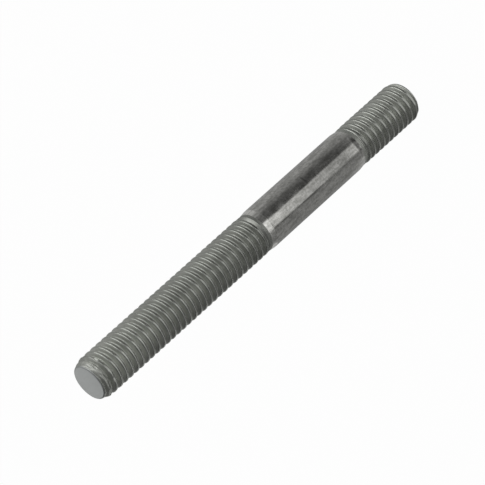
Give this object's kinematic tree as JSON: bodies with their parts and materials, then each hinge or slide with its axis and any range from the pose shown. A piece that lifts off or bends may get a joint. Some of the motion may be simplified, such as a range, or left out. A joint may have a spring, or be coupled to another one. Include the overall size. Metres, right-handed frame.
{
  "type": "wheel stud",
  "caption": "Double-ended steel wheel stud with a plain shank, a short threaded end that screws into the hub and a long threaded end that takes the wheel nut.",
  "frame": {"origin": "centre of the hub end face, on which the stud stands", "axes": "+Z along the stud, from the hub end to the nut end; X and Y are alike"},
  "size_m": [0.0096, 0.0096, 0.1],
  "materials": {
    "steel": "satin grey, as rolled, with a smoother shank"
  },
  "bodies": {
    "root": {"stud": "steel"}
  },
  "joints": []
}
